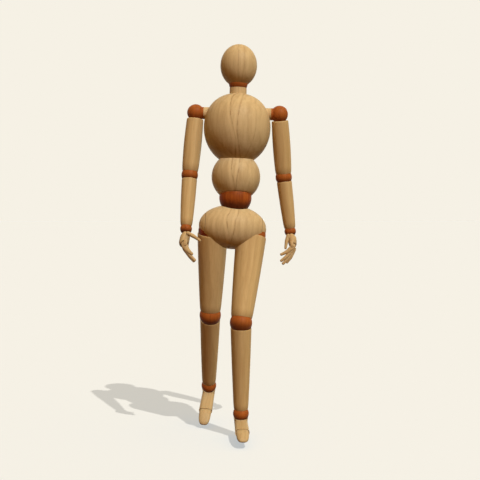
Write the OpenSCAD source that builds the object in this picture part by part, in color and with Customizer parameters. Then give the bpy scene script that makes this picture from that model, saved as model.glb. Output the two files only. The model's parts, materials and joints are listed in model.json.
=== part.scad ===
// Jointed wooden artist mannequin, caught in mid-stride.
// Millimetres, Z up, the figure faces -Y and its left side is at +X.
// The origin is the mouth of the rod socket in the back of the pelvis.
// "Right" and "left" are the figure's own; side is -1 for right and +1 for left.

/* [Torso] */
// Widest diameter of the egg-shaped head
head_d = 36.6; // [30:0.2:44]
// Height of the head above its widest line
head_crown = 21.4; // [18:0.2:28]
// Depth of the egg below its widest line
head_jaw = 21.2; // [18:0.2:26]
// Widest line of the head above the neck ball
head_rise = 17.4; // [14:0.2:22]
// Diameter of the neck ball
neck_ball_d = 18.8; // [15:0.2:22]
// Diameter of the neck
neck_d = 17; // [13:0.2:20]
// Neck ball above the middle of the chest
neck_rise = 44.8; // [42:0.2:50]
// Diameter of the chest
chest_d = 66.6; // [60:0.2:68]
// Height of the chest above its widest line
chest_crown = 34.5; // [30:0.5:40]
// Depth of the chest egg below its widest line
chest_base = 37; // [34:0.5:40]
// Middle of the chest above the middle of the abdomen
chest_rise = 48.8; // [44:0.2:54]
// Diameter of the abdomen ball
abdomen_d = 48.6; // [42:0.2:54]
// Middle of the abdomen above the waist ball
abdomen_rise = 20.9; // [19:0.1:25]
// Diameter of the waist ball
waist_ball_d = 32.2; // [26:0.2:34]
// Waist ball above the middle of the pelvis
waist_rise = 29.4; // [27:0.1:33]
// Width of the pelvis across its end caps
pelvis_w = 67.6; // [62:0.2:72]
// Diameter of the pelvis barrel
pelvis_d = 44; // [40:0.2:48]

/* [Arms] */
// Shoulder ball from the middle line of the chest
shoulder_reach = 41.9; // [41:0.1:48]
// Shoulder ball above the middle of the chest
shoulder_rise = 14.4; // [10:0.2:20]
// Diameter of the shoulder balls
shoulder_ball_d = 17.4; // [15:0.2:20]
// Diameter of the shoulder pegs
shoulder_peg_d = 12; // [8:0.2:13]
// Shoulder ball to elbow ball
upper_arm_len = 63; // [55:0.5:75]
// Upper arm diameter at the shoulder
upper_arm_top_d = 16.6; // [14:0.2:18]
// Upper arm diameter at the elbow
upper_arm_low_d = 16.1; // [13:0.1:16.2]
// Diameter of the elbow balls
elbow_ball_d = 16.5; // [15:0.1:19]
// Elbow ball to wrist ball
forearm_len = 55.1; // [45:0.5:65]
// Forearm diameter at the elbow
forearm_top_d = 15.2; // [13:0.2:16]
// Forearm diameter at the wrist
forearm_low_d = 11.7; // [9:0.1:12]
// Diameter of the wrist balls
wrist_ball_d = 11.6; // [10:0.1:13]
// Diameter of the fingers at the knuckle
finger_d = 2.8; // [2.2:0.1:2.9]

/* [Legs] */
// Hip ball from the middle line of the pelvis
hip_reach = 19.3; // [18:0.1:21]
// Hip ball below the pelvis axle
hip_drop = 6.2; // [5:0.1:8]
// Diameter of the hip balls
hip_ball_d = 28.8; // [27:0.2:30]
// Hip ball to knee ball
thigh_len = 88.6; // [75:0.5:100]
// Thigh diameter at the hip
thigh_top_d = 30.4; // [29:0.2:32]
// Thigh diameter at the knee
thigh_low_d = 21.2; // [18:0.2:21.6]
// Diameter of the knee balls
knee_ball_d = 21.9; // [20:0.1:24]
// Knee ball to ankle ball
shin_len = 93.5; // [80:0.5:110]
// Shin diameter at the knee
shin_top_d = 20.6; // [18:0.2:21]
// Shin diameter at the ankle
shin_low_d = 14.6; // [12:0.2:15]
// Diameter of the ankle balls
ankle_ball_d = 15.8; // [14:0.1:18]
// Sole below the ankle ball
ankle_h = 13; // [12:0.2:16]
// Toe hinge in front of the ankle ball
instep_len = 33; // [26:0.5:36]
// Toe piece from its hinge to its tip
toe_len = 15.5; // [14:0.5:24]
// Width of the foot at the toe hinge
foot_w = 14; // [12:0.2:18]

/* [Pose] */
// Pelvis tipped forward
pelvis_tilt = 0; // [-20:0.1:20]
// Pelvis leaning to the figure's left
pelvis_lean = 5.5; // [-10:0.1:10]
// Pelvis turned to the figure's right
pelvis_yaw = 5.4; // [-20:0.1:20]
// Abdomen bent forward on the waist ball
waist_bend = -1.5; // [-20:0.1:25]
// Sideways set of the waist ball on its peg
waist_cant = -3.9; // [-6:0.1:6]
// Chest turned on the abdomen
chest_turn = -8.4; // [-40:0.1:40]
// Right arm swung forward
right_arm_swing = 4.5; // [-2:0.1:60]
// Left arm swung forward
left_arm_swing = -10.5; // [-40:0.1:60]
// Right arm raised outwards
right_arm_raise = 3.6; // [3:0.1:90]
// Left arm raised outwards
left_arm_raise = 5.2; // [3:0.1:90]
// Right elbow bent forward
right_elbow_bend = 8.2; // [0:0.1:44]
// Left elbow bent forward
left_elbow_bend = 4.5; // [0:0.1:44]
// Sideways set of the right elbow ball on its peg
right_elbow_cant = -2.6; // [-6:0.1:6]
// Sideways set of the left elbow ball on its peg
left_elbow_cant = 3.1; // [-6:0.1:6]
// Fore-and-aft set of the right wrist ball on its peg
right_wrist_cant = 4; // [-10:0.5:32]
// Fore-and-aft set of the left wrist ball on its peg
left_wrist_cant = 24; // [-10:0.5:32]
// Right hand bent towards the body
right_wrist_bend = 0; // [-20:1:28]
// Left hand bent towards the body
left_wrist_bend = -6; // [-20:1:28]
// Right fingers curled towards the body
right_finger_curl = 28; // [0:1:60]
// Left fingers curled towards the body
left_finger_curl = 40; // [0:1:60]
// Right thumb opened from the line of the hand
right_thumb_open = 63; // [10:1:70]
// Left thumb opened from the line of the hand
left_thumb_open = 24; // [10:1:70]
// Right leg swung forward
right_hip_swing = -13.3; // [-30:0.1:60]
// Left leg swung forward
left_hip_swing = 13.3; // [-30:0.1:60]
// Right leg spread outwards
right_hip_spread = -4.5; // [-5:0.1:10]
// Left leg spread outwards
left_hip_spread = -2.6; // [-5:0.1:10]
// Right knee bent back
right_knee_bend = 16.6; // [0:0.1:88]
// Left knee bent back
left_knee_bend = 22; // [0:0.1:88]
// Sideways set of the right knee ball on its peg
right_knee_cant = -1.3; // [-10:0.1:10]
// Sideways set of the left knee ball on its peg
left_knee_cant = 9.3; // [-10:0.1:10]
// Right foot turned outwards
right_foot_turn = 8.5; // [-10:0.5:20]
// Left foot turned outwards
left_foot_turn = -4.5; // [-10:0.5:20]
// Right foot bent up at the ankle
right_foot_bend = -1; // [-10:0.5:10]
// Left foot bent up at the ankle
left_foot_bend = 2.5; // [-10:0.5:10]

/* [Rod socket] */
// Diameter of the socket for a 5 mm display rod
socket_d = 5.2; // [3:0.1:6]
// Depth of the socket
socket_depth = 14; // [8:0.5:14]

/* [Fits] */
// Gap between a ball and the cups around it
cup_gap = 0.4; // [0.3:0.05:0.6]
// Radial clearance of pins and pegs in their bores
pin_fit = 0.05; // [0.02:0.01:0.1]

/* [Hidden] */
$fn = 72;

light_wood = [0.80, 0.64, 0.42];
stained_wood = [0.55, 0.25, 0.11];
steel = [0.70, 0.70, 0.72];

// Joints as [tongue thickness, eye radius, pin radius, peg radius, peg length beyond the ball]
neck_joint = [3.2, 2.8, 1.0, 3.0, 9];
waist_joint = [6.0, 5.0, 1.5, 4.5, 7];
elbow_joint = [3.4, 2.2, 0.9, 2.7, 10];
wrist_joint = [2.2, 1.6, 0.6, 1.9, 8];
knee_joint = [4.6, 3.8, 1.25, 3.4, 11];
ankle_joint = [3.4, 2.4, 1.0, 2.6, 10];
shoulder_joint = [3.8, 3.0, 1.1, 0, 0];
slot_side = 0.35;
slot_facet = 25;
slot_back_facets = 5;
slot_bulge = 1.2;
pin_recess = 0.6;
bore_spare = 0.6;
tongue_root = 1.6;

// Furthest bends of the hinges, counted from a straight joint
nod_back = 18;
nod_forward = 23;
waist_back = 25;
waist_forward = 32;
elbow_reach = 45;
wrist_in = 32;
wrist_out = 26;
knee_reach = 92;
ankle_up = 26;
ankle_down = 36;
raise_reach = 100;
spread_reach = 15;

// Where the ends of the limbs stop short of the middle of their balls
head_rim = 1.1;
neck_rim = 4.2;
arm_top_rim = 6.4;
elbow_rim = 3.5;
forearm_rim = 4.3;
wrist_rim = 3.2;
knee_rim = 4.9;
ankle_rim = 4.4;
thigh_rim = 2;
abdomen_rim = 2.8;
abdomen_rim_tilt = 11;

// Rounded rims of the limbs, as lengths and depths
top_round_len = 1.4;
top_round = 0.45;
low_round_len = 7;
low_round = 0.6;
// Swell of the limbs half way down
upper_arm_swell = 0.7;
forearm_swell = 0.3;
thigh_swell = 0.3;
shin_swell = 0.2;

// Bevel behind the knee, from the level of the ball
knee_relief = 41;
spigot_r = 5;
spigot_len = 16;
neck_spigot_r = 6;
neck_spigot_len = 12;
neck_seat_depth = 0.2;
neck_seat_fit = 0.2;
chest_fullness = 2.2;
neck_seat =
  chest_crown * pow(1 - pow(neck_d / chest_d, chest_fullness), 1 / chest_fullness) - neck_seat_depth;
shoulder_peg_len = 19;
shoulder_pin_wall = 2.4;
raise_stop = 2;

axle_r = 2;
axle_len = 62;
cap_seat = 28.2;
cap_gap = 0.35;
stud_lean = 9;
stud_r = 1.5;
stud_head_r = 3;
stud_nut_r = 3.5;
stud_head_at = 12;
stud_seat = 22;
stud_head_h = 1.2;
stud_head_room = 10;
stud_nut_h = 2.4;
stud_nut_at = 3;
stud_end = 4;
thigh_gap = 0.5;
stud_slack = 0.5;
stud_slot_from = 9;
nut_room_h = 5;

palm_r = 4.7;
palm_top = 5;
palm_middle = [0, 0.6, -10.5];
palm_bulge_r = 7.8;
palm_edge = [4.8, 15.6, 1];
palm_edge_at = -15.6;
knuckle_lugs = [-7.6, 6.75];
lug_r = 1.7;
lug_t = 1.25;
finger_gap = 0.45;
finger_row = 13.4;
finger_pitch = 3.25;
knuckle_drop = 17.6;
knuckle_wire_r = 0.5;
knuckle_wire_len = 15;
finger_lengths = [8.2, 9.6, 9.2, 7.6];
finger_fan = [15, 0, -8, -14];
finger_tip_bend = 20;
finger_end_share = 0.75;
finger_mid_r = finger_d / 2 - 0.15;
finger_tip_r = finger_d / 2 - 0.4;
knuckle_in = 1.2;
thumb_pivot = [-3.2, -7.9, -6.8];
thumb_boss_r = 2;
thumb_boss_len = 4;
thumb_room = 1.9;
thumb_r = 1.7;
thumb_tip_r = 1;
thumb_w = 3;
thumb_pin_r = 0.6;
thumb_pin_len = 7.2;
thumb_len = 13.8;

heel_at = 5;
heel_low_r = 5.6;
heel_r = 6.2;
heel_h = 5;
foot_top = 6;
foot_collar_h = 1.4;
ball_of_foot_h = 6.6;
toe_knuckle_r = 4;
toe_hinge = [0, -instep_len, -ankle_h + toe_knuckle_r];
toe_gap = 0.45;
toe_eye_r = 2.9;
toe_eye_room = 3.3;
toe_lug_side = 0.35;
toe_tip_r = 2.4;
toe_tip_half = 1.8;
toe_w = 12.4;
toe_lug_t = 3;
toe_pin_r = 0.9;

spot_cut = 0.8;
pelvis_center = [0, spot_cut - pelvis_d / 2, 0];

// Rigid motions as 4 x 4 matrices
function shift(v) = [[1, 0, 0, v[0]], [0, 1, 0, v[1]], [0, 0, 1, v[2]], [0, 0, 0, 1]];
function turn_x(a) = [[1, 0, 0, 0], [0, cos(a), -sin(a), 0], [0, sin(a), cos(a), 0], [0, 0, 0, 1]];
function turn_y(a) = [[cos(a), 0, sin(a), 0], [0, 1, 0, 0], [-sin(a), 0, cos(a), 0], [0, 0, 0, 1]];
function turn_z(a) = [[cos(a), -sin(a), 0, 0], [sin(a), cos(a), 0, 0], [0, 0, 1, 0], [0, 0, 0, 1]];
function pick(side, right, left) = side < 0 ? right : left;

function arm_swing_of(side) = pick(side, right_arm_swing, left_arm_swing);
function arm_raise_of(side) = pick(side, right_arm_raise, left_arm_raise);
function elbow_bend_of(side) = pick(side, right_elbow_bend, left_elbow_bend);
function elbow_cant_of(side) = pick(side, right_elbow_cant, left_elbow_cant);
function wrist_cant_of(side) = pick(side, right_wrist_cant, left_wrist_cant);
function wrist_bend_of(side) = pick(side, right_wrist_bend, left_wrist_bend);
function foot_turn_of(side) = pick(side, right_foot_turn, left_foot_turn);
function foot_bend_of(side) = pick(side, right_foot_bend, left_foot_bend);
function finger_curl_of(side) = pick(side, right_finger_curl, left_finger_curl);
function thumb_open_of(side) = pick(side, right_thumb_open, left_thumb_open);
function hip_swing_of(side) = pick(side, right_hip_swing, left_hip_swing);
function hip_spread_of(side) = pick(side, right_hip_spread, left_hip_spread);
function knee_bend_of(side) = pick(side, right_knee_bend, left_knee_bend);
function knee_cant_of(side) = pick(side, right_knee_cant, left_knee_cant);

// Frames of the joints in the photographed pose
pelvis_at = shift(pelvis_center) * turn_z(pelvis_yaw) * turn_y(pelvis_lean) * turn_x(pelvis_tilt);
waist_at = pelvis_at * shift([0, 0, waist_rise]) * turn_y(waist_cant);
abdomen_at = waist_at * turn_x(waist_bend) * shift([0, 0, abdomen_rise]);
chest_at = abdomen_at * turn_z(chest_turn) * shift([0, 0, chest_rise]);
neck_at = chest_at * shift([0, 0, neck_rise]);
function shoulder_at(side) =
  chest_at * shift([side * shoulder_reach, 0, shoulder_rise]) * turn_x(-arm_swing_of(side));
function arm_at(side) = shoulder_at(side) * turn_y(-side * arm_raise_of(side));
function elbow_at(side) = arm_at(side) * shift([0, 0, -upper_arm_len]) * turn_y(-side * elbow_cant_of(side));
function forearm_at(side) = elbow_at(side) * turn_x(-elbow_bend_of(side));
function wrist_at(side) = forearm_at(side) * shift([0, 0, -forearm_len]) * turn_x(-wrist_cant_of(side));
function hand_at(side) = wrist_at(side) * turn_y(side * wrist_bend_of(side));
function hip_at(side) = pelvis_at * turn_x(-hip_swing_of(side));
function hip_ball_at(side) = hip_at(side) * shift([side * hip_reach, 0, -hip_drop]);
function thigh_at(side) = hip_ball_at(side) * turn_y(-side * hip_spread_of(side));
function knee_at(side) = thigh_at(side) * shift([0, 0, -thigh_len]) * turn_y(-side * knee_cant_of(side));
function shin_at(side) = knee_at(side) * turn_x(knee_bend_of(side));
function ankle_at(side) = shin_at(side) * shift([0, 0, -shin_len]) * turn_z(side * foot_turn_of(side));
function foot_at(side) = ankle_at(side) * turn_x(-foot_bend_of(side));

// Points of an ellipse as [radius, height], from angle a0 to angle a1
function oval(r, h, a0, a1, steps) =
  [for (i = [0 : steps]) let (a = a0 + (a1 - a0) * i / steps) [r * cos(a), h * sin(a)]];

// The same for an oval that is fuller than an ellipse, from its widest line to its top
function full_oval(r, h, fullness, steps) =
  [for (i = [0 : steps]) let (a = 90 * i / steps)
    [r * pow(cos(a), 2 / fullness), h * pow(sin(a), 2 / fullness)]];

// How much a rounded rim takes off the radius at a share of its length from the end
function rim_loss(share, depth) = share >= 1 ? 0 : depth * (1 - sqrt(1 - pow(1 - share, 2)));

// Heights down a limb as shares of its length, close together at the two rims
function limb_stops(top_share, low_share) = concat(
  [for (u = [0, 0.08, 0.25, 0.55, 1]) u * top_share],
  [for (i = [1 : 6]) top_share + (1 - low_share - top_share) * i / 7],
  [for (u = [1, 0.7, 0.45, 0.25, 0.1, 0]) 1 - u * low_share]);

// Points down the side of a turned limb: a slight swell, and rims rounded by a little above and more below
function limb_side(top_r, low_r, swell, top_z, low_z) =
  let (length = top_z - low_z) [
    for (t = limb_stops(top_round_len / length, low_round_len / length)) [
      top_r + (low_r - top_r) * t + swell * sin(180 * t)
        - rim_loss(t * length / top_round_len, top_round)
        - rim_loss((1 - t) * length / low_round_len, low_round),
      top_z - length * t
    ]
  ];

module on(frame) {
  multmatrix(frame) children();
}

// Draws a left-hand piece as it is and a right-hand piece mirrored
module handed(side) {
  if (side < 0) mirror([1, 0, 0]) children();
  else children();
}

module along_x() {
  rotate([0, 90, 0]) children();
}

module along_y() {
  rotate([-90, 0, 0]) children();
}

module limb(top_d, low_d, swell, top_z, low_z) {
  side_points = limb_side(top_d / 2, low_d / 2, swell, top_z, low_z);
  rotate_extrude() polygon(concat([[0, top_z]], side_points, [[0, low_z]]));
}

// Flat tongue hanging from its eye, in the plane across the hinge
module tongue(joint, reach) {
  along_x() cylinder(r = joint[1], h = joint[0], center = true);
  translate([-joint[0] / 2, -joint[1], -reach]) cube([joint[0], 2 * joint[1], reach]);
}

// Outline of the room that a tongue sweeps about its eye, as [back, up] points
// Angles count from straight down towards the back
function sweep_point(r, a) = [r * sin(a), -r * cos(a)];
function sweep_outline(r, reach, low, high) =
  let (
    steps = ceil((high - low) / slot_facet),
    turn_step = (180 - (high - low)) / slot_back_facets,
    back_r = r / cos(turn_step / 2)
  ) concat(
    [sweep_point(reach, low) - sweep_point(r, low + 90)],
    [for (i = [1 : steps - 1]) sweep_point(slot_bulge * reach, low + (high - low) * i / steps)],
    [sweep_point(reach, high) + sweep_point(r, high + 90)],
    [for (i = [0 : slot_back_facets - 1]) sweep_point(back_r, high + 90 + turn_step * (i + 0.5))]
  );

// Room for a tongue that swings between two angles about X
module tongue_room(joint, ball_r, low, high) {
  rotate([90, 0, 90]) linear_extrude(joint[0] + 2 * slot_side, center = true)
    polygon(sweep_outline(joint[1] + cup_gap, 2 * ball_r, low, high));
}

module pin_bore(joint, ball_r) {
  along_x() cylinder(r = joint[2] + pin_fit, h = 4 * ball_r, center = true);
}

module hinge_pin(joint, ball_r) {
  along_x() cylinder(r = joint[2], h = 2 * (ball_r - pin_recess), center = true);
}

module peg_bore(joint, ball_r) {
  cylinder(r = joint[3] + pin_fit, h = ball_r + joint[4] + bore_spare);
}

// Stained ball with a peg upwards and a slot downwards; the peg may lean from the line of the slot
module pegged_ball(joint, ball_d, low, high, peg_lean) {
  difference() {
    union() {
      sphere(d = ball_d);
      rotate(peg_lean) cylinder(r = joint[3], h = ball_d / 2 + joint[4]);
    }
    tongue_room(joint, ball_d / 2, low, high);
    pin_bore(joint, ball_d / 2);
  }
}

// Lower limb with a cup around its ball, a tongue in the ball's slot and a bore for the pin
module hung_on(joint, ball_d) {
  difference() {
    union() {
      difference() {
        children();
        sphere(d = ball_d + 2 * cup_gap);
      }
      tongue(joint, ball_d / 2 + tongue_root);
    }
    pin_bore(joint, ball_d / 2);
  }
}

// Pelvis barrel, a body turned about the hip axle
module barrel(grow) {
  along_x() rotate_extrude() polygon(oval(pelvis_d / 2 + grow, pelvis_w / 2 + grow, -90, 90, 40));
}

module head() {
  head_r = head_d / 2;
  color(light_wood) on(neck_at) rotate([180, 0, 0]) hung_on(neck_joint, neck_ball_d) rotate([180, 0, 0])
    difference() {
      translate([0, 0, head_rise]) rotate_extrude() polygon(concat(
        oval(head_r, head_jaw, -90, 0, 20), oval(head_r, head_crown, 4.5, 90, 20)));
      translate([0, 0, -head_rim - head_d]) cylinder(d = head_d, h = head_d);
    }
}

module neck_ball() {
  color(stained_wood) on(neck_at) rotate([180, 0, 0])
    pegged_ball(neck_joint, neck_ball_d, -nod_back, nod_forward, [0, 0, 0]);
}

module neck_pin() {
  color(steel) on(neck_at) hinge_pin(neck_joint, neck_ball_d / 2);
}

module neck() {
  color(light_wood) on(chest_at) difference() {
    union() {
      translate([0, 0, neck_seat]) cylinder(d = neck_d, h = neck_rise - neck_rim - neck_seat);
      translate([0, 0, neck_seat - neck_spigot_len]) cylinder(r = neck_spigot_r, h = neck_spigot_len + 1);
    }
    translate([0, 0, neck_rise]) sphere(d = neck_ball_d + 2 * cup_gap);
    translate([0, 0, neck_rise]) rotate([180, 0, 0]) peg_bore(neck_joint, neck_ball_d / 2);
  }
}

module chest() {
  color(light_wood) on(chest_at) difference() {
    rotate_extrude() polygon(concat(
      oval(chest_d / 2, chest_base, -90, -4, 22), full_oval(chest_d / 2, chest_crown, chest_fullness, 24)));
    translate([0, 0, neck_seat]) cylinder(d = neck_d + 2 * neck_seat_fit, h = chest_crown);
    translate([0, 0, neck_seat - neck_spigot_len - bore_spare])
      cylinder(r = neck_spigot_r + pin_fit, h = chest_crown);
    translate([0, 0, -chest_rise]) sphere(d = abdomen_d + 2 * cup_gap);
    translate([0, 0, -chest_rise])
      cylinder(r = spigot_r + pin_fit, h = abdomen_d / 2 + spigot_len + bore_spare);
    for (side = [-1, 1]) {
      translate([side * shoulder_reach, 0, shoulder_rise]) rotate([0, -side * 90, 0])
        cylinder(d = shoulder_peg_d + 2 * pin_fit, h = shoulder_peg_len + bore_spare);
    }
  }
}

module abdomen() {
  color(light_wood) on(abdomen_at) translate([0, 0, -abdomen_rise]) rotate([180, 0, 0])
    hung_on(waist_joint, waist_ball_d) rotate([180, 0, 0]) difference() {
      translate([0, 0, abdomen_rise]) {
        sphere(d = abdomen_d);
        cylinder(r = spigot_r, h = abdomen_d / 2 + spigot_len);
      }
      translate([0, 0, abdomen_rim]) rotate([-abdomen_rim_tilt, 0, 0]) translate([0, 0, -abdomen_d])
        cylinder(d = 2 * abdomen_d, h = abdomen_d);
    }
}

module waist_ball() {
  color(stained_wood) on(waist_at) rotate([180, 0, 0])
    pegged_ball(waist_joint, waist_ball_d, -waist_back, waist_forward, [0, waist_cant, 0]);
}

module waist_pin() {
  color(steel) on(waist_at) hinge_pin(waist_joint, waist_ball_d / 2);
}

module pelvis() {
  color(light_wood) difference() {
    on(pelvis_at) difference() {
      barrel(0);
      for (side = [-1, 1]) {
        translate([side * (cap_seat + pelvis_d / 2), 0, 0]) cube(pelvis_d, center = true);
      }
      along_x() cylinder(r = axle_r + pin_fit, h = pelvis_w, center = true);
      translate([0, 0, waist_rise]) sphere(d = waist_ball_d + 2 * cup_gap);
      translate([0, 0, waist_rise]) rotate([180, 0, 0]) peg_bore(waist_joint, waist_ball_d / 2);
    }
    along_y() cylinder(d = 2 * socket_d, h = socket_d);
    translate([0, -socket_depth, 0]) along_y() cylinder(d = socket_d, h = socket_depth + 1);
  }
}

module hip_axle() {
  color(steel) on(pelvis_at) along_x() cylinder(r = axle_r, h = axle_len, center = true);
}

module shoulder_ball(side) {
  ball_r = shoulder_ball_d / 2;
  color(stained_wood) on(shoulder_at(side)) handed(side) difference() {
    union() {
      sphere(r = ball_r);
      rotate([0, -90, 0]) cylinder(d = shoulder_peg_d, h = shoulder_peg_len);
    }
    rotate([0, 0, 90]) tongue_room(shoulder_joint, ball_r, -raise_reach, -raise_stop);
    translate([0, shoulder_pin_wall - ball_r, 0]) along_y()
      cylinder(r = shoulder_joint[2] + pin_fit, h = 2 * ball_r);
  }
}

module shoulder_pin(side) {
  ball_r = shoulder_ball_d / 2;
  color(steel) on(shoulder_at(side)) translate([0, shoulder_pin_wall + 0.2 - ball_r, 0]) along_y()
    cylinder(r = shoulder_joint[2], h = 2 * ball_r - shoulder_pin_wall - 1);
}

module upper_arm(side) {
  color(light_wood) on(arm_at(side)) difference() {
    rotate([0, 0, 90]) hung_on(shoulder_joint, shoulder_ball_d)
      limb(upper_arm_top_d, upper_arm_low_d, upper_arm_swell, -arm_top_rim, elbow_rim - upper_arm_len);
    translate([0, 0, -upper_arm_len]) {
      sphere(d = elbow_ball_d + 2 * cup_gap);
      peg_bore(elbow_joint, elbow_ball_d / 2);
    }
  }
}

module elbow_ball(side) {
  color(stained_wood) on(elbow_at(side))
    pegged_ball(elbow_joint, elbow_ball_d, -elbow_reach, 0, [0, side * elbow_cant_of(side), 0]);
}

module elbow_pin(side) {
  color(steel) on(elbow_at(side)) hinge_pin(elbow_joint, elbow_ball_d / 2);
}

module forearm(side) {
  color(light_wood) on(forearm_at(side)) difference() {
    hung_on(elbow_joint, elbow_ball_d)
      limb(forearm_top_d, forearm_low_d, forearm_swell, -forearm_rim, wrist_rim - forearm_len);
    translate([0, 0, -forearm_len]) {
      sphere(d = wrist_ball_d + 2 * cup_gap);
      peg_bore(wrist_joint, wrist_ball_d / 2);
    }
  }
}

module wrist_ball(side) {
  color(stained_wood) on(wrist_at(side)) handed(side) rotate([0, 0, 90])
    pegged_ball(wrist_joint, wrist_ball_d, -wrist_out, wrist_in, [0, -wrist_cant_of(side), 0]);
}

// Palm of the left hand: thickness along X, width along Y, the body at -X
module palm_block() {
  hull() {
    translate([0, 0, -palm_top]) cylinder(r = palm_r, h = 1.6, $fn = 32);
    translate(palm_middle) scale([0.55, 1, 0.6]) sphere(r = palm_bulge_r, $fn = 32);
    translate([-knuckle_in - palm_edge[0] / 2, knuckle_lugs[0], palm_edge_at]) cube(palm_edge);
  }
}

module palm(side) {
  knuckle = [-knuckle_in, 0, -knuckle_drop];
  lug_h = knuckle_drop + palm_edge_at + palm_edge[2];
  pin_room = thumb_room + thumb_boss_len + bore_spare / 2;
  color(light_wood) on(hand_at(side)) handed(side) {
    difference() {
      union() {
        rotate([0, 0, 90]) hung_on(wrist_joint, wrist_ball_d) rotate([0, 0, -90]) palm_block();
        for (lug = knuckle_lugs) {
          translate(knuckle) translate([0, lug, 0]) along_y() cylinder(r = lug_r, h = lug_t);
          translate(knuckle) translate([-lug_r, lug, 0]) cube([2 * lug_r, lug_t, lug_h]);
        }
        translate(thumb_pivot) translate([0, thumb_room, 0]) along_y()
          cylinder(r = thumb_boss_r, h = thumb_boss_len);
      }
      translate(knuckle) along_y()
        cylinder(r = knuckle_wire_r + pin_fit, h = 2 * palm_edge[1], center = true);
      translate(knuckle) along_y() cylinder(r = finger_d / 2 + finger_gap, h = finger_row, center = true);
      translate(thumb_pivot) along_y() cylinder(r = thumb_pin_r + pin_fit, h = pin_room);
      translate(thumb_pivot) translate([0, -palm_bulge_r, 0]) along_y()
        cylinder(r = thumb_boss_r + bore_spare, h = palm_bulge_r + thumb_room);
    }
  }
}

// Wrist pin, knuckle wire and thumb pin of one hand
module hand_pins(side) {
  color(steel) on(hand_at(side)) handed(side) {
    rotate([0, 0, 90]) hinge_pin(wrist_joint, wrist_ball_d / 2);
    translate([-knuckle_in, 0, -knuckle_drop]) along_y()
      cylinder(r = knuckle_wire_r, h = knuckle_wire_len, center = true);
    translate(thumb_pivot) translate([0, 0.2 - thumb_w / 2, 0]) along_y()
      cylinder(r = thumb_pin_r, h = thumb_pin_len);
  }
}

// Round stick with a ball at its tip
module stick(top_r, tip_r, length) {
  translate([0, 0, -length]) cylinder(r1 = tip_r, r2 = top_r, h = length);
  translate([0, 0, -length]) sphere(r = tip_r);
}

module finger(side, number) {
  finger_r = finger_d / 2;
  color(light_wood) on(hand_at(side)) handed(side)
    translate([-knuckle_in, (number - 1.5) * finger_pitch, -knuckle_drop]) difference() {
      union() {
        along_y() cylinder(r = finger_r, h = finger_d, center = true);
        rotate([0, finger_curl_of(side) + finger_fan[number], 0]) {
          stick(finger_r, finger_mid_r, finger_lengths[number]);
          translate([0, 0, -finger_lengths[number]]) rotate([0, finger_tip_bend, 0])
            stick(finger_mid_r, finger_tip_r, finger_lengths[number] * finger_end_share);
        }
      }
      along_y() cylinder(r = knuckle_wire_r + pin_fit, h = 2 * finger_d, center = true);
    }
}

module thumb(side) {
  color(light_wood) on(hand_at(side)) handed(side) translate(thumb_pivot) difference() {
    union() {
      along_y() cylinder(r = thumb_r, h = thumb_w, center = true);
      rotate([0, thumb_open_of(side), 0]) stick(thumb_r, thumb_tip_r, thumb_len);
    }
    along_y() cylinder(r = thumb_pin_r + pin_fit, h = 2 * thumb_w, center = true);
  }
}

// End cap of the pelvis, turning on the axle
module hip_cap_body() {
  cap_start = asin((cap_seat + cap_gap) / (pelvis_w / 2));
  edge_points = oval(pelvis_d / 2, pelvis_w / 2, cap_start, 90, 12);
  along_x() rotate_extrude() polygon(concat([[0, cap_seat + cap_gap]], edge_points));
}

module hip_cap(side) {
  color(light_wood) on(hip_at(side)) handed(side) difference() {
    hip_cap_body();
    translate([hip_reach, 0, -hip_drop]) sphere(d = hip_ball_d);
    along_x() cylinder(r = axle_r + pin_fit, h = axle_len / 2 + bore_spare);
  }
}

module hip_ball(side) {
  color(stained_wood) on(hip_at(side)) handed(side) difference() {
    translate([hip_reach, 0, -hip_drop]) sphere(d = hip_ball_d);
    difference() {
      barrel(cup_gap);
      translate([cap_seat + cap_gap, -pelvis_d, -pelvis_d]) cube(2 * pelvis_d);
    }
    along_x() cylinder(r = axle_r + pin_fit, h = axle_len / 2 + bore_spare);
    translate([hip_reach, 0, -hip_drop]) rotate([0, -stud_lean, 0]) {
      translate([0, 0, -stud_head_at - stud_head_h]) cylinder(r = stud_head_r + pin_fit, h = stud_head_room);
      translate([0, 0, -stud_seat]) cylinder(r = stud_r + pin_fit, h = stud_seat);
    }
  }
}

module hip_stud(side) {
  color(steel) on(hip_ball_at(side)) handed(side) rotate([0, -stud_lean, 0]) union() {
    translate([0, 0, -stud_head_at - stud_head_h]) cylinder(r = stud_head_r, h = stud_head_h);
    translate([0, 0, -stud_seat - stud_end])
      cylinder(r = stud_r, h = stud_seat + stud_end - stud_head_at - stud_head_h / 2);
    translate([0, 0, -stud_seat - stud_nut_at]) cylinder(r = stud_nut_r, h = stud_nut_h);
  }
}

// Outline of the room that the stud sweeps in the thigh while the leg spreads, as [outwards, up] points
function stud_point(w, r, a) = [w * cos(a) - r * sin(a), -w * sin(a) - r * cos(a)];
function stud_outline(half_w, r_in, r_out) =
  let (low = -stud_lean, high = spread_reach - stud_lean) [
    stud_point(half_w, r_in, low),
    stud_point(half_w, r_out, low),
    stud_point(0, r_out / cos(spread_reach / 2), (low + high) / 2),
    stud_point(-half_w, r_out, high),
    stud_point(-half_w, r_in, high)
  ];

module stud_slot(half_w, r_in, r_out) {
  rotate([90, 0, 0]) linear_extrude(2 * half_w, center = true) polygon(stud_outline(half_w, r_in, r_out));
}

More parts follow.
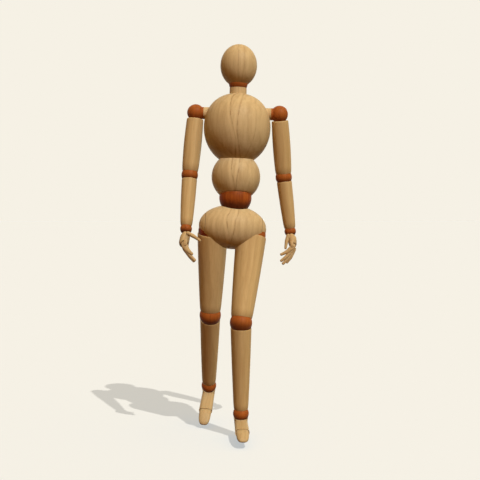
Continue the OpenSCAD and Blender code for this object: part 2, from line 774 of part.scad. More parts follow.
module thigh(side) {
  spread = hip_spread_of(side);
  ball = [hip_reach, 0, -hip_drop];
  color(light_wood) on(hip_at(side)) handed(side) difference() {
    translate(ball) rotate([0, -spread, 0])
      limb(thigh_top_d, thigh_low_d, thigh_swell, -thigh_rim, knee_rim - thigh_len);
    translate(ball) sphere(d = hip_ball_d + 2 * cup_gap);
    for (opened = [0, spread_reach]) {
      translate(ball) rotate([0, opened, 0]) translate(-ball) barrel(thigh_gap);
    }
    translate(ball) stud_slot(stud_r + stud_slack, stud_slot_from, stud_seat + 1);
    translate(ball) stud_slot(stud_nut_r + stud_slack, stud_seat, stud_seat + nut_room_h);
    translate(ball) rotate([0, -spread, 0]) translate([0, 0, -thigh_len]) {
      sphere(d = knee_ball_d + 2 * cup_gap);
      peg_bore(knee_joint, knee_ball_d / 2);
      mirror([0, 0, 1]) knee_notch();
    }
  }
}

// Bevel at the back of the knee, seen from the ball
module knee_notch() {
  rotate([knee_relief - 90, 0, 0]) translate([-knee_ball_d, 0, 0]) cube(2 * knee_ball_d);
}

module knee_ball(side) {
  color(stained_wood) on(knee_at(side))
    pegged_ball(knee_joint, knee_ball_d, 0, knee_reach, [0, side * knee_cant_of(side), 0]);
}

module knee_pin(side) {
  color(steel) on(knee_at(side)) hinge_pin(knee_joint, knee_ball_d / 2);
}

module shin(side) {
  color(light_wood) on(shin_at(side)) difference() {
    hung_on(knee_joint, knee_ball_d) difference() {
      limb(shin_top_d, shin_low_d, shin_swell, -knee_rim, ankle_rim - shin_len);
      knee_notch();
    }
    translate([0, 0, -shin_len]) {
      sphere(d = ankle_ball_d + 2 * cup_gap);
      peg_bore(ankle_joint, ankle_ball_d / 2);
    }
  }
}

module ankle_ball(side) {
  color(stained_wood) on(ankle_at(side))
    pegged_ball(ankle_joint, ankle_ball_d, -ankle_up, ankle_down, [0, 0, 0]);
}

// Foot from the ankle cup to the toe hinge
module foot_block() {
  hull() {
    translate([0, 0, -foot_top]) cylinder(d = shin_low_d, h = foot_collar_h, $fn = 32);
    translate([0, heel_at, -ankle_h]) cylinder(r1 = heel_low_r, r2 = heel_r, h = heel_h, $fn = 32);
    translate([0, -instep_len, -ankle_h]) scale([1, 0.6, 1])
      cylinder(d = foot_w, h = ball_of_foot_h, $fn = 32);
    translate([0, -instep_len, -ankle_h + ball_of_foot_h]) scale([0.86, 0.43, 0.17])
      sphere(d = foot_w, $fn = 32);
  }
}

module foot(side) {
  knuckle_room = toe_knuckle_r + toe_gap;
  color(light_wood) on(foot_at(side)) difference() {
    union() {
      difference() {
        hung_on(ankle_joint, ankle_ball_d) foot_block();
        translate([-foot_w, toe_hinge[1] - instep_len, -2 * ankle_h])
          cube([2 * foot_w, instep_len, 3 * ankle_h]);
        translate(toe_hinge) along_x() cylinder(r = knuckle_room, h = 2 * foot_w, center = true);
      }
      translate(toe_hinge) along_x() cylinder(r = toe_eye_r, h = toe_lug_t, center = true);
      translate(toe_hinge) translate([-toe_lug_t / 2, 0, -2]) cube([toe_lug_t, knuckle_room + 2, 4]);
    }
    translate(toe_hinge) along_x() cylinder(r = toe_pin_r + pin_fit, h = 2 * foot_w, center = true);
  }
}

// Ankle pin and toe pin of one foot
module foot_pins(side) {
  color(steel) on(foot_at(side)) {
    hinge_pin(ankle_joint, ankle_ball_d / 2);
    translate(toe_hinge) along_x() cylinder(r = toe_pin_r, h = toe_w - 1, center = true);
  }
}

module toe(side) {
  lug_room = toe_lug_t + 2 * toe_lug_side;
  tip = [toe_tip_half, toe_tip_r - toe_len, toe_tip_r - toe_knuckle_r];
  color(light_wood) on(foot_at(side)) translate(toe_hinge) difference() {
    hull() {
      along_x() cylinder(r = toe_knuckle_r, h = toe_w, center = true, $fn = 48);
      translate(tip) sphere(r = toe_tip_r, $fn = 32);
      mirror([1, 0, 0]) translate(tip) sphere(r = toe_tip_r, $fn = 32);
    }
    along_x() cylinder(r = toe_eye_room, h = lug_room, center = true);
    translate([-lug_room / 2, 0, -2 * toe_knuckle_r]) cube([lug_room, 3 * toe_knuckle_r, 4 * toe_knuckle_r]);
    along_x() cylinder(r = toe_pin_r + pin_fit, h = 2 * toe_w, center = true);
  }
}

head();
neck_ball();
neck_pin();
neck();
chest();
abdomen();
waist_ball();
waist_pin();
pelvis();
hip_axle();
shoulder_ball(-1);  // right_shoulder_ball
shoulder_pin(-1);  // right_shoulder_pin
upper_arm(-1);  // right_upper_arm
elbow_ball(-1);  // right_elbow_ball
elbow_pin(-1);  // right_elbow_pin
forearm(-1);  // right_forearm
wrist_ball(-1);  // right_wrist_ball
palm(-1);  // right_palm
hand_pins(-1);  // right_hand_pins
thumb(-1);  // right_thumb
finger(-1, 0);  // right_index_finger
finger(-1, 1);  // right_middle_finger
finger(-1, 2);  // right_ring_finger
finger(-1, 3);  // right_little_finger
shoulder_ball(1);  // left_shoulder_ball
shoulder_pin(1);  // left_shoulder_pin
upper_arm(1);  // left_upper_arm
elbow_ball(1);  // left_elbow_ball
elbow_pin(1);  // left_elbow_pin
forearm(1);  // left_forearm
wrist_ball(1);  // left_wrist_ball
palm(1);  // left_palm
hand_pins(1);  // left_hand_pins
thumb(1);  // left_thumb
finger(1, 0);  // left_index_finger
finger(1, 1);  // left_middle_finger
finger(1, 2);  // left_ring_finger
finger(1, 3);  // left_little_finger
hip_cap(-1);  // right_hip_cap
hip_ball(-1);  // right_hip_ball
hip_stud(-1);  // right_hip_stud
thigh(-1);  // right_thigh
knee_ball(-1);  // right_knee_ball
knee_pin(-1);  // right_knee_pin
shin(-1);  // right_shin
ankle_ball(-1);  // right_ankle_ball
foot(-1);  // right_foot
foot_pins(-1);  // right_foot_pins
toe(-1);  // right_toe
hip_cap(1);  // left_hip_cap
hip_ball(1);  // left_hip_ball
hip_stud(1);  // left_hip_stud
thigh(1);  // left_thigh
knee_ball(1);  // left_knee_ball
knee_pin(1);  // left_knee_pin
shin(1);  // left_shin
ankle_ball(1);  // left_ankle_ball
foot(1);  // left_foot
foot_pins(1);  // left_foot_pins
toe(1);  // left_toe
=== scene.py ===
import json
import math

import bpy
import numpy as np
from mathutils import Matrix, Vector


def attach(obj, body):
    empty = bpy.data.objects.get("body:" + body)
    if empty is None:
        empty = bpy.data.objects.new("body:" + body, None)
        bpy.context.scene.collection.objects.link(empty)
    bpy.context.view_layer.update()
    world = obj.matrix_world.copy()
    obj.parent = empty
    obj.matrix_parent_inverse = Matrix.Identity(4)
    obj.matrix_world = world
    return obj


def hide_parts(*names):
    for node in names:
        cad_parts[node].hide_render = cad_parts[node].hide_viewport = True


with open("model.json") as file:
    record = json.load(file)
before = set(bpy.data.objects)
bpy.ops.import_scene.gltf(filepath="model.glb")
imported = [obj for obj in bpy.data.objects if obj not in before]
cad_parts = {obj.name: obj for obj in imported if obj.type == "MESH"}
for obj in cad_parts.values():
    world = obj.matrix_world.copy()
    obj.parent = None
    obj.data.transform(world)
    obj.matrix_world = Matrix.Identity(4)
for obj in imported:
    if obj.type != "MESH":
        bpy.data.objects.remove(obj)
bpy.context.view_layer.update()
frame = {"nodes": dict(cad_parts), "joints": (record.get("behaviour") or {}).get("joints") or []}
joints = {j["name"]: j for j in frame["joints"]}
sides = {"right": -1, "left": 1}          # the figure's own sides; it faces -Y
millimetres = 1000                        # in a metre of the row frame
print("frame loaded with", len(frame["nodes"]), "turned pieces")


# Colours are written as screen values from 0 to 255 and turned, by the usual screen curve, into the linear
# numbers that shaders take.
def tone(r, g, b, strength=1.0):
    screen = np.array([r, g, b]) / 255
    linear = np.where(screen <= 0.04045, screen / 12.92, ((screen + 0.055) / 1.055) ** 2.4)
    return (*(linear * strength), 1.0)


# A joint's point in the row frame, in metres.
def jointAt(name):
    return np.array(joints[name]["pos_m"])


# A joint's axis in the row frame.
def jointAxis(name):
    return np.array(joints[name]["axis"])


# Three square directions: the first along a, the second in the plane of a and b.
def triad(a, b):
    first = np.array(a, float) / np.linalg.norm(a)
    third = np.cross(first, b)
    third /= np.linalg.norm(third)
    return np.stack([first, np.cross(third, first), third], axis=1)


# The turn that carries two directions of a piece onto two directions of the row frame.
def turnOnto(pieceA, pieceB, rowA, rowB):
    return triad(rowA, rowB) @ triad(pieceA, pieceB).T


# The frame of a limb: its Z points from its lower joint to its upper one, its X lies along the hinge.
def limbFrame(upper, lower, hinge):
    return upper, turnOnto((0, 0, 1), (1, 0, 0), upper - lower, hinge)


# The stage

stage = {
    "floorZ": -0.2101,
    "floorHalf": 30.0,
    "paper": (246, 241, 229),
    "shadowShare": 0.68,        # how much of the paper's brightness is left in the figure's shadow
    "sunStrength": 3.0,         # the floor's own lamp, which draws the figure's shadow
    "sunAngle": 0.5,
    "sunTravel": (-0.414, 0.682, -1.0),
    "sunTint": (1.0, 1.0, 1.0),
    "keyStrength": 2.75,        # the figure's main lamp, which casts no shadow of one piece on another
    "keyAngle": 20.0,
    "keyTravel": (-0.40, 0.73, -0.86),
    "keyTint": (0.88, 1.0, 0.97),
    "frontStrength": 0.52,      # a weak warm lamp above the camera
    "frontAngle": 20.0,
    "frontTravel": (0.0, 1.0, -0.5),
    "frontTint": (1.0, 0.25, 0.0),
    "backStrength": 1.7,        # level from behind, so that only the far side is lit
    "backAngle": 20.0,
    "backTravel": (-0.25, -1.0, 0.0),
    "backTint": (0.88, 0.98, 1.0),
    "sky": (0.49, 0.30, 0.015),
    "skyLean": (0.55, 0.0, 1.1),        # how the sky brightens to the right and overhead
    "bounce": (0.03, 0.005, 0.0),       # what the floor gives back to the figure
    "cameraAt": (0.00740, -0.9165, 0.01297),
    "cameraTo": (0.00740, -0.0212, -0.01282),
    "viewAngle": 30.0,
    "sensor": 36.0,
}

scene = bpy.context.scene
scene.view_settings.view_transform = "Standard"


# A new node with its settings.
def addNode(tree, kind, **settings):
    node = tree.nodes.new(kind)
    for key, value in settings.items():
        setattr(node, key, value)
    return node


# One where a ray comes from the camera, a mirror or a clear piece, and nought for light that bounces.
def seenDirectly(tree):
    path = addNode(tree, "ShaderNodeLightPath")
    cameraOrMirror = addNode(tree, "ShaderNodeMath", operation="MAXIMUM")
    seen = addNode(tree, "ShaderNodeMath", operation="MAXIMUM")
    tree.links.new(path.outputs["Is Camera Ray"], cameraOrMirror.inputs[0])
    tree.links.new(path.outputs["Is Glossy Ray"], cameraOrMirror.inputs[1])
    tree.links.new(cameraOrMirror.outputs[0], seen.inputs[0])
    tree.links.new(path.outputs["Is Transmission Ray"], seen.inputs[1])
    return seen.outputs[0]


# The sky's strength is one, plus its lean along the direction looked in, less half of the upward lean.
# What is seen directly is plain paper.
def makeWorld():
    world = bpy.data.worlds.new("paperRoom")
    world.use_nodes = True
    tree = world.node_tree
    tree.nodes.clear()
    fill = addNode(tree, "ShaderNodeBackground")
    fill.inputs["Color"].default_value = (*stage["sky"], 1)
    spot = addNode(tree, "ShaderNodeTexCoord")
    lean = addNode(tree, "ShaderNodeVectorMath", operation="DOT_PRODUCT")
    lean.inputs[1].default_value = stage["skyLean"]
    level = addNode(tree, "ShaderNodeMath", operation="ADD")
    level.inputs[1].default_value = 1 - stage["skyLean"][2] / 2
    tree.links.new(spot.outputs["Generated"], lean.inputs[0])
    tree.links.new(lean.outputs["Value"], level.inputs[0])
    tree.links.new(level.outputs[0], fill.inputs["Strength"])
    paper = addNode(tree, "ShaderNodeBackground")
    paper.inputs["Color"].default_value = tone(*stage["paper"])
    mix = addNode(tree, "ShaderNodeMixShader")
    out = addNode(tree, "ShaderNodeOutputWorld")
    tree.links.new(seenDirectly(tree), mix.inputs[0])
    tree.links.new(fill.outputs[0], mix.inputs[1])
    tree.links.new(paper.outputs[0], mix.inputs[2])
    tree.links.new(mix.outputs[0], out.inputs["Surface"])
    scene.world = world


# An empty material with nodes.
def newMaterial(name):
    material = bpy.data.materials.new(name)
    material.use_nodes = True
    material.node_tree.nodes.clear()
    return material


# The floor glows with the share of the paper that stays in shadow, and the sun adds the rest. A level floor
# gets the sky's mean strength, which is one plus a sixth of the upward lean.
def makeFloor():
    half, z = stage["floorHalf"], stage["floorZ"]
    corners = [(-half, -half, z), (half, -half, z), (half, half, z), (-half, half, z)]
    mesh = bpy.data.meshes.new("floor")
    mesh.from_pydata(corners, [], [(0, 1, 2, 3)])
    floor = bpy.data.objects.new("floor", mesh)
    scene.collection.objects.link(floor)
    material = newMaterial("paperFloor")
    tree = material.node_tree
    fall = Vector(stage["sunTravel"]).normalized()
    sunOnFloor = -fall.z * stage["sunStrength"] / math.pi
    paper = np.array(tone(*stage["paper"])[:3])
    lit = (1 - stage["shadowShare"]) * paper / sunOnFloor
    skyOnFloor = np.array(stage["sky"]) * (1 + stage["skyLean"][2] / 6)
    glow = stage["shadowShare"] * paper - lit * skyOnFloor
    bounce = addNode(tree, "ShaderNodeBsdfDiffuse")
    bounce.inputs["Color"].default_value = (*stage["bounce"], 1)
    litPaper = addNode(tree, "ShaderNodeBsdfDiffuse")
    litPaper.inputs["Color"].default_value = (*lit, 1)
    glowPaper = addNode(tree, "ShaderNodeEmission")
    glowPaper.inputs["Color"].default_value = (*glow, 1)
    paperSum = addNode(tree, "ShaderNodeAddShader")
    mix = addNode(tree, "ShaderNodeMixShader")
    out = addNode(tree, "ShaderNodeOutputMaterial")
    tree.links.new(litPaper.outputs[0], paperSum.inputs[0])
    tree.links.new(glowPaper.outputs[0], paperSum.inputs[1])
    tree.links.new(seenDirectly(tree), mix.inputs[0])
    tree.links.new(bounce.outputs[0], mix.inputs[1])
    tree.links.new(paperSum.outputs[0], mix.inputs[2])
    tree.links.new(mix.outputs[0], out.inputs["Surface"])
    mesh.materials.append(material)
    return floor


# A lamp that lights the floor alone, or everything but the floor.
def makeLight(name, floor, floorLink, castsShadow):
    lamp = bpy.data.lights.new(name, "SUN")
    lamp.energy = stage[name + "Strength"]
    lamp.angle = math.radians(stage[name + "Angle"])
    lamp.color = stage[name + "Tint"]
    lamp.use_shadow = castsShadow
    holder = bpy.data.objects.new(name, lamp)
    holder.rotation_euler = Vector(stage[name + "Travel"]).to_track_quat("-Z", "Y").to_euler()
    scene.collection.objects.link(holder)
    lit = bpy.data.collections.new(name + "Lights")
    lit.objects.link(floor)
    lit.collection_objects[0].light_linking.link_state = floorLink
    holder.light_linking.receiver_collection = lit
    return holder


# The camera: half the sensor over the tangent of half the view angle gives the lens.
def makeCamera():
    data = bpy.data.cameras.new("camera")
    data.sensor_width = stage["sensor"]
    data.lens = stage["sensor"] / 2 / math.tan(math.radians(stage["viewAngle"] / 2))
    camera = bpy.data.objects.new("camera", data)
    camera.location = stage["cameraAt"]
    look = Vector(stage["cameraTo"]) - Vector(stage["cameraAt"])
    camera.rotation_euler = look.to_track_quat("-Z", "Y").to_euler()
    scene.collection.objects.link(camera)
    scene.camera = camera


makeWorld()
floor = makeFloor()
makeLight("sun", floor, "INCLUDE", True)
makeLight("key", floor, "EXCLUDE", False)
makeLight("front", floor, "EXCLUDE", False)
backLamp = makeLight("back", floor, "EXCLUDE", False)
backLamp.visible_glossy = False         # no glint along the outlines
makeCamera()
print("stage set")


# The finishes. Each piece's wood is worked out in its own millimetres, with the grain along its Z.

# A noise is given by how fine it is across and along the grain, per millimetre, how far each seed moves it,
# its detail and its roughness.
lightWood = {
    "pale": (201, 176, 138),
    "mid": (187, 160, 122),
    "line": (126, 88, 48),
    # the dark colour of the painted shade laid on lower ends
    "grime": (110, 70, 34),
    "pore": (140, 100, 58),
    "streaks": ((0.22, 0.010), (4.3, 8.9, 6.1), 4.0, 0.6),
    "streakSpan": (0.34, 0.66),
    "pith": (-60.0, 14.0),          # where the middle of the tree was, in X and Y
    "lean": (2.0, 1.5),             # of the grain, in degrees
    "ringPitch": 6.0,
    "ringShare": 0.13,
    "lineWidth": 0.62,
    "lineShare": 0.55,
    "poreShare": 0.30,
    "specular": 0.14,
    "smooth": (0.44, 0.58),         # least and most roughness
    "bump": 0.14,
}
stainedWood = {
    "pale": (162, 91, 39),
    "mid": (147, 77, 31),
    "line": (96, 39, 7),
    # the dark colour of the painted shade laid on lower ends
    "grime": (58, 20, 4),
    "pore": (96, 40, 10),
    "streaks": ((0.30, 0.020), (4.3, 8.9, 6.1), 4.0, 0.6),
    "streakSpan": (0.30, 0.70),
    "pith": (-60.0, 14.0),
    "lean": (2.0, 1.5),
    "ringPitch": 5.0,
    "ringShare": 0.16,
    "poreShare": 0.25,
    "specular": 0.12,
    "smooth": (0.48, 0.60),
    "bump": 0.08,
}
woodGrain = {                       # what both woods share
    "fibre": ((1.3, 0.03), (2.3, 5.9, 1.1), 3.0, 0.6),
    "fibreShare": 0.35,             # of the streaks; the rest is broad
    "fibreSpan": (0.3, 0.7),
    "pores": ((3.4, 0.12), (2.9, 1.9, 3.1), 2.0, 0.5),
    "poreSpan": (0.60, 0.74),
    "poreDepth": 0.6,
    "wander": ((0.07, 0.018), (7.1, 3.3, 5.7), 2.0, 0.5),
    "wanderRings": 1.6,             # by how many rings they wander
    "ringShade": ((0.0, 0.2), (0.15, 0.0), (0.5, 0.2), (0.8, 0.8), (0.92, 1.0), (1.0, 0.2)),
    "lineMargin": 1.0,
    "lineWaver": 2.0,
    "lineEdge": (0.25, 1.5),        # in line widths
    "lineBreaks": ((0.12, 0.16), (3.7, 1.3, 2.1), 2.0, 0.5),
    "breakSpan": (0.34, 0.60),
    "breakLeft": 0.25,              # of a line, where it breaks
    "bandOff": 2.4,                 # the paler band beside a line
    "bandWidth": 2.0,
    "bandShare": 0.5,
    "bandLift": 1.12,
    "bumpDepth": 0.0003,
    "pegSeed": 0.5,                 # a peg's seed after its ball's
}
steelWire = {"metal": (176, 174, 170), "scratch": (132, 130, 127), "smooth": (0.22, 0.42)}
brownedWire = {"metal": (118, 66, 36), "scratch": (96, 50, 26), "smooth": (0.55, 0.70)}   # the hands' pins
wireScratch = {"fine": (600, 9000, 9000), "detail": 3.0, "span": (0.35, 0.65), "dullSpan": (0.3, 0.7)}


# Puts a value on a socket: a link where it is another node's output, else the plain number or colour.
def feed(tree, socket, value):
    if isinstance(value, bpy.types.NodeSocket):
        tree.links.new(value, socket)
    else:
        socket.default_value = value


# A mixture of two colours by a factor.
def mixColour(tree, factor, first, second):
    node = addNode(tree, "ShaderNodeMix", data_type="RGBA")
    for number, value in ((0, factor), (6, first), (7, second)):
        feed(tree, node.inputs[number], value)
    return node.outputs[2]


# One sum on one or two numbers.
def calc(tree, operation, first, second=0.0):
    node = addNode(tree, "ShaderNodeMath", operation=operation)
    feed(tree, node.inputs[0], first)
    feed(tree, node.inputs[1], second)
    return node.outputs[0]


# A smooth step from newLow to newHigh while the value goes from low to high.
def remap(tree, value, low, high, newLow, newHigh):
    node = addNode(tree, "ShaderNodeMapRange", interpolation_type="SMOOTHSTEP")
    tree.links.new(value, node.inputs[0])
    for socket, number in zip(node.inputs[1:5], (low, high, newLow, newHigh)):
        socket.default_value = number
    return node.outputs[0]


# A point scaled, then turned, then moved.
def stretched(tree, vector, scale, offset=(0, 0, 0), turn=(0, 0, 0)):
    node = addNode(tree, "ShaderNodeMapping")
    tree.links.new(vector, node.inputs["Vector"])
    node.inputs["Scale"].default_value = scale
    node.inputs["Location"].default_value = offset
    node.inputs["Rotation"].default_value = [math.radians(a) for a in turn]
    return node.outputs[0]


# Noise with one bump to a unit.
def noise(tree, vector, detail, roughness=0.5):
    node = addNode(tree, "ShaderNodeTexNoise")
    tree.links.new(vector, node.inputs["Vector"])
    node.inputs["Scale"].default_value = 1.0
    node.inputs["Detail"].default_value = detail
    node.inputs["Roughness"].default_value = roughness
    return node.outputs["Fac"]


# Noise drawn out along the grain, which starts elsewhere for each seed.
def grainNoise(tree, place, kind, seed):
    (across, along), moves, detail, roughness = kind
    start = [seed * move for move in moves]
    return noise(tree, stretched(tree, place, (across, across, along), start), detail, roughness)


# A ramp through (place, height) points.
def ramp(tree, value, points):
    node = addNode(tree, "ShaderNodeValToRGB")
    tree.links.new(value, node.inputs[0])
    stops = node.color_ramp.elements
    while len(stops) < len(points):
        stops.new(0.5)
    for stop, (place, height) in zip(stops, points):
        stop.position = place
        stop.color = (height, height, height, 1)
    return node.outputs[0]


# One coordinate of a point.
def coordinate(tree, place, axis):
    split = addNode(tree, "ShaderNodeSeparateXYZ")
    tree.links.new(place, split.inputs[0])
    return split.outputs[axis]


# Millimetres of the piece: the row frame's point less the piece's origin, in the piece's own directions.
def pieceMillimetres(tree, origin, turn):
    spot = addNode(tree, "ShaderNodeTexCoord")
    back = Matrix(turn.T.tolist())
    node = addNode(tree, "ShaderNodeMapping", vector_type="POINT")
    tree.links.new(spot.outputs["Object"], node.inputs["Vector"])
    node.inputs["Scale"].default_value = (millimetres, millimetres, millimetres)
    node.inputs["Rotation"].default_value = back.to_euler("XYZ")
    node.inputs["Location"].default_value = -(turn.T @ origin) * millimetres
    return node.outputs[0]


# Rings of the tree: the distance from a leaning pith line over the pitch, with a slow wander, in saw teeth.
def ringLines(tree, place, look, seed):
    pithX, pithY = look["pith"]
    wander = grainNoise(tree, place, woodGrain["wander"], seed)
    leaned = stretched(tree, place, (1, 1, 1), (-pithX, -pithY, 0), (*look["lean"], 0))
    flat = addNode(tree, "ShaderNodeVectorMath", operation="MULTIPLY")
    tree.links.new(leaned, flat.inputs[0])
    flat.inputs[1].default_value = (1, 1, 0)
    far = addNode(tree, "ShaderNodeVectorMath", operation="LENGTH")
    tree.links.new(flat.outputs[0], far.inputs[0])
    count = calc(tree, "DIVIDE", far.outputs["Value"], look["ringPitch"])
    wandered = calc(tree, "ADD", count, calc(tree, "MULTIPLY", wander, woodGrain["wanderRings"]))
    return ramp(tree, calc(tree, "FRACT", wandered), woodGrain["ringShade"])


# The distance from one drawn line: a smooth curve gives the line's place across the piece at each height.
def drawnLine(tree, across, height, points):
    heights, places = zip(*points)
    low, high = min(heights), max(heights)
    left, right = min(places) - woodGrain["lineMargin"], max(places) + woodGrain["lineMargin"]
    node = addNode(tree, "ShaderNodeFloatCurve")
    curve = node.mapping.curves[0]
    spots = sorted(((h - low) / (high - low), (x - left) / (right - left)) for h, x in points)
    curve.points[0].location, curve.points[-1].location = spots[0], spots[-1]
    for spot in spots[1:-1]:
        curve.points.new(*spot)
    node.mapping.update()
    rise = calc(tree, "DIVIDE", calc(tree, "SUBTRACT", height, low), high - low)
    tree.links.new(rise, node.inputs["Value"])
    middle = calc(tree, "ADD", calc(tree, "MULTIPLY", node.outputs[0], right - left), left)
    return calc(tree, "SUBTRACT", across, middle)


# The drawn lines over a colour: they waver with the streaks and break in patches, and each has a paler band
# on its left.
def layLines(tree, place, look, seed, broad, colour):
    waver = calc(tree, "MULTIPLY", calc(tree, "SUBTRACT", broad, 0.5), woodGrain["lineWaver"])
    sideways = calc(tree, "ADD", coordinate(tree, place, "X"), waver)
    height = coordinate(tree, place, "Z")
    patch = grainNoise(tree, place, woodGrain["lineBreaks"], seed)
    breaks = remap(tree, patch, *woodGrain["breakSpan"], woodGrain["breakLeft"], 1.0)
    core, edge = (look["lineWidth"] * widths for widths in woodGrain["lineEdge"])
    for points, share in look["lines"]:
        off = drawnLine(tree, sideways, height, points)
        dark = remap(tree, calc(tree, "ABSOLUTE", off), core, edge, share * look["lineShare"], 0.0)
        dark = calc(tree, "MULTIPLY", dark, breaks)
        beside = calc(tree, "ABSOLUTE", calc(tree, "ADD", off, woodGrain["bandOff"]))
        light = remap(tree, beside, 0.0, woodGrain["bandWidth"], share * woodGrain["bandShare"], 0.0)
        colour = mixColour(tree, light, colour, tone(*look["pale"], woodGrain["bandLift"]))
        colour = mixColour(tree, dark, colour, tone(*look["line"]))
    return colour


# The wood's colour, fibre and surface height: pale and darker streaks along the grain, faint rings, pores,
# and the lines drawn on some pieces.
def woodSockets(tree, place, look, seed):
    broad = grainNoise(tree, place, look["streaks"], seed)
    fibre = grainNoise(tree, place, woodGrain["fibre"], seed)
    fine = grainNoise(tree, place, woodGrain["pores"], seed)
    pores = remap(tree, fine, *woodGrain["poreSpan"], 0.0, 1.0)
    share = woodGrain["fibreShare"]
    both = calc(tree, "ADD", calc(tree, "MULTIPLY", broad, 1 - share), calc(tree, "MULTIPLY", fibre, share))
    streaks = remap(tree, both, *look["streakSpan"], 0.0, 1.0)
    colour = mixColour(tree, streaks, tone(*look["mid"]), tone(*look["pale"]))
    rings = calc(tree, "MULTIPLY", ringLines(tree, place, look, seed), look["ringShare"])
    colour = mixColour(tree, rings, colour, tone(*look["line"]))
    colour = mixColour(tree, calc(tree, "MULTIPLY", pores, look["poreShare"]), colour, tone(*look["pore"]))
    if "lines" in look:
        colour = layLines(tree, place, look, seed, broad, colour)
    height = calc(tree, "SUBTRACT", fibre, calc(tree, "MULTIPLY", pores, woodGrain["poreDepth"]))
    return colour, fibre, height


# The lacquer: smoother where the fibre is high, with the fibre and pores as a faint bump.
def finishMaterial(tree, colour, fibre, height, look):
    shader = addNode(tree, "ShaderNodeBsdfPrincipled")
    out = addNode(tree, "ShaderNodeOutputMaterial")
    bump = addNode(tree, "ShaderNodeBump")
    bump.inputs["Strength"].default_value = look["bump"]
    bump.inputs["Distance"].default_value = woodGrain["bumpDepth"]
    tree.links.new(height, bump.inputs["Height"])
    tree.links.new(colour, shader.inputs["Base Color"])
    least, most = look["smooth"]
    roughness = remap(tree, fibre, *woodGrain["fibreSpan"], most, least)
    tree.links.new(roughness, shader.inputs["Roughness"])
    tree.links.new(bump.outputs[0], shader.inputs["Normal"])
    shader.inputs["Specular IOR Level"].default_value = look["specular"]
    tree.links.new(shader.outputs[0], out.inputs["Surface"])


# Wood of one piece. A look's "ends" gives the heights, in its millimetres, between which painted shade
# darkens the lower end, and by how much. Its "pegEdge" is where, along X, a ball's stain gives way to the
# wood of its peg.
def woodMaterial(name, look, origin, turn, seed):
    material = newMaterial(name)
    tree = material.node_tree
    place = pieceMillimetres(tree, origin, turn)
    colour, fibre, height = woodSockets(tree, place, look, seed)
    if "pegEdge" in look:
        pegColour, _, _ = woodSockets(tree, place, look["pegWood"], seed + woodGrain["pegSeed"])
        isPeg = remap(tree, coordinate(tree, place, "X"), *look["pegEdge"], 1.0, 0.0)
        colour = mixColour(tree, isPeg, colour, pegColour)
    # Painted shade: the lower end is mixed towards a dark colour, as shade below the piece.
    if "ends" in look:
        low, high, share = look["ends"]
        grime = remap(tree, coordinate(tree, place, "Z"), low, high, share, 0.0)
        colour = mixColour(tree, grime, colour, tone(*look["grime"]))
    finishMaterial(tree, colour, fibre, height, look)
    return material


# Wire with fine scratches along X, duller where it is scratched.
def steelMaterial(name, look):
    material = newMaterial(name)
    tree = material.node_tree
    spot = addNode(tree, "ShaderNodeTexCoord")
    drawnOut = stretched(tree, spot.outputs["Object"], wireScratch["fine"])
    scratch = noise(tree, drawnOut, wireScratch["detail"])
    streak = remap(tree, scratch, *wireScratch["span"], 0.0, 1.0)
    shader = addNode(tree, "ShaderNodeBsdfPrincipled")
    out = addNode(tree, "ShaderNodeOutputMaterial")
    colour = mixColour(tree, streak, tone(*look["metal"]), tone(*look["scratch"]))
    tree.links.new(colour, shader.inputs["Base Color"])
    roughness = remap(tree, scratch, *wireScratch["dullSpan"], *look["smooth"])
    tree.links.new(roughness, shader.inputs["Roughness"])
    shader.inputs["Metallic"].default_value = 1.0
    tree.links.new(shader.outputs[0], out.inputs["Surface"])
    return material


# Gives a turned piece its finish.
def dress(node, material):
    mesh = frame["nodes"][node].data
    mesh.materials.clear()
    mesh.materials.append(material)


# Where the grain of the trunk's pieces runs: their origins and their own directions in the row frame. Head
# and chest are measured up from the neck's joint, the abdomen from the waist's, in metres.
grainMiddles = {"head": 0.0174, "chest": -0.0448, "abdomen": 0.0209}
waist, chestAxis, neck = jointAt("waist_bend"), -jointAxis("chest_turn"), jointAt("head_nod")
pelvisTurn = turnOnto((1, 0, 0), (0, 0, 1), -jointAxis("left_hip_swing"), jointAxis("waist_turn"))
abdomenTurn = turnOnto((0, 0, 1), (1, 0, 0), chestAxis, jointAxis("waist_bend"))
chestTurn = turnOnto((0, 0, 1), (1, 0, 0), chestAxis, jointAxis("head_nod"))
headMiddle = neck + grainMiddles["head"] * chestAxis
chestMiddle = neck + grainMiddles["chest"] * chestAxis
abdomenMiddle = waist + grainMiddles["abdomen"] * chestAxis
pelvisMiddle = jointAt("left_hip_swing")
pelvisSeed = 7              # the hip caps' too, so that the grain runs on

# Dark lines in the wood: height and place across, in the piece's millimetres, and how dark each line is.
chestLines = (
    (((31, -2.2), (22, -5.0), (12, -5.0), (2, -3.0), (-6, -1.0), (-18, 0.7), (-27, 0.4)), 1.0),
    (((31, 6.4), (27, 5.7), (19, 4.0), (11, 3.0), (2, 2.3), (-6, 2.0), (-14, 2.8), (-25, 4.2)), 0.8),
    (((20, -23.0), (6, -25.0), (-8, -21.0), (-20, -12.0)), 0.3),
    (((18, 19.0), (0, 20.0), (-14, 17.0), (-24, 13.0)), 0.3),
)
abdomenLines = (
    (((15, -5.4), (13, -5.7), (4.7, -6.2), (-3.7, -4.5), (-12, -3.2)), 0.9),
    (((15, 1.8), (13, 1.5), (4.7, 0.2), (-3.7, -1.0), (-12, -1.6)), 0.8),
    (((12, 14.0), (0, 13.0), (-10, 11.0)), 0.3),
)
pelvisLines = (
    (((17, -4.4), (15, -5.0), (7.5, -8.0), (1, -7.0), (-9, -4.0), (-19, -3.0)), 0.9),
    (((17, 3.4), (12.5, 2.6), (6, 0.4), (-2.5, 0.0), (-11, -1.3), (-19, -2.0)), 0.8),
)
